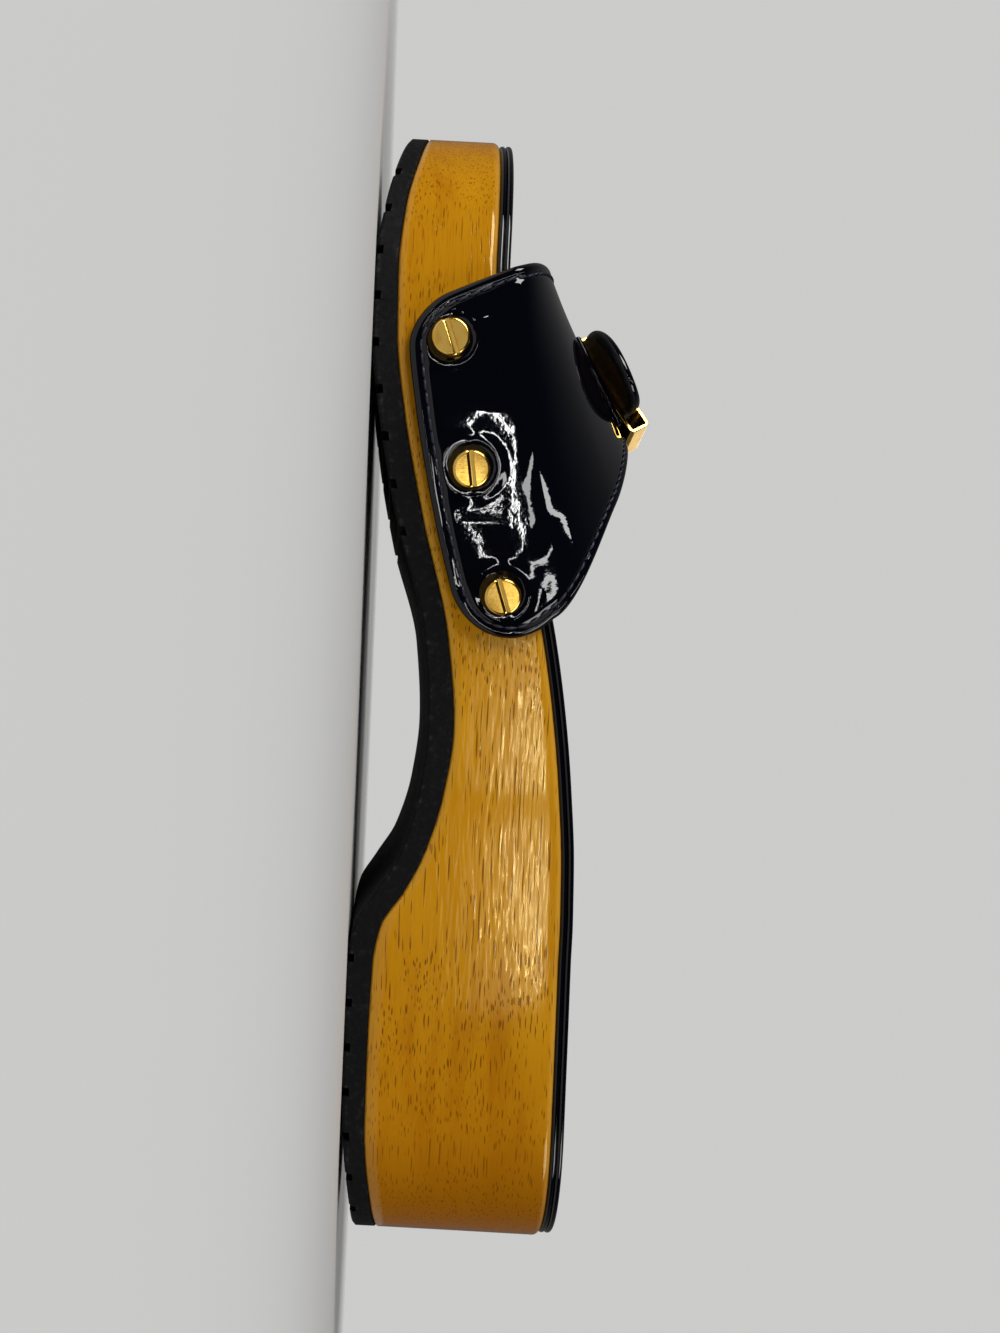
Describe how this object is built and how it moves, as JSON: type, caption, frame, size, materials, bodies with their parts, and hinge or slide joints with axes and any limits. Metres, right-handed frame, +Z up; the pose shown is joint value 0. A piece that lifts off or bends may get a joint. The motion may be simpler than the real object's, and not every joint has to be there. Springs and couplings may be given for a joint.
{
  "type": "slide sandal",
  "caption": "Slide sandal for the right foot: carved wooden sole on a rubber tread, covered footbed, and a wide buckled leather band screwed to the wood.",
  "frame": {"origin": "on the floor, in the middle of the length and of the width", "axes": "+X to the toe, +Y to the inner (medial) side, +Z up from the floor"},
  "size_m": [0.2516, 0.099, 0.0658],
  "materials": {
    "outsole": "matt black rubber",
    "wood_sole": "amber hardwood under gloss lacquer",
    "insole": "black patent cover with a rolled edge",
    "upper": "black patent leather with a brown lining",
    "buckle_frame": "polished gold plating",
    "buckle_prong": "polished gold plating",
    "screws": "polished brass with a slot"
  },
  "bodies": {
    "root": {"outsole": "outsole", "wood_sole": "wood_sole", "insole": "insole", "upper": "upper", "buckle_frame": "buckle_frame", "buckle_prong": "buckle_prong", "screw_medial_front": "screws", "screw_medial_middle": "screws", "screw_medial_rear": "screws", "screw_lateral_front": "screws", "screw_lateral_middle": "screws", "screw_lateral_rear": "screws"}
  },
  "joints": []
}
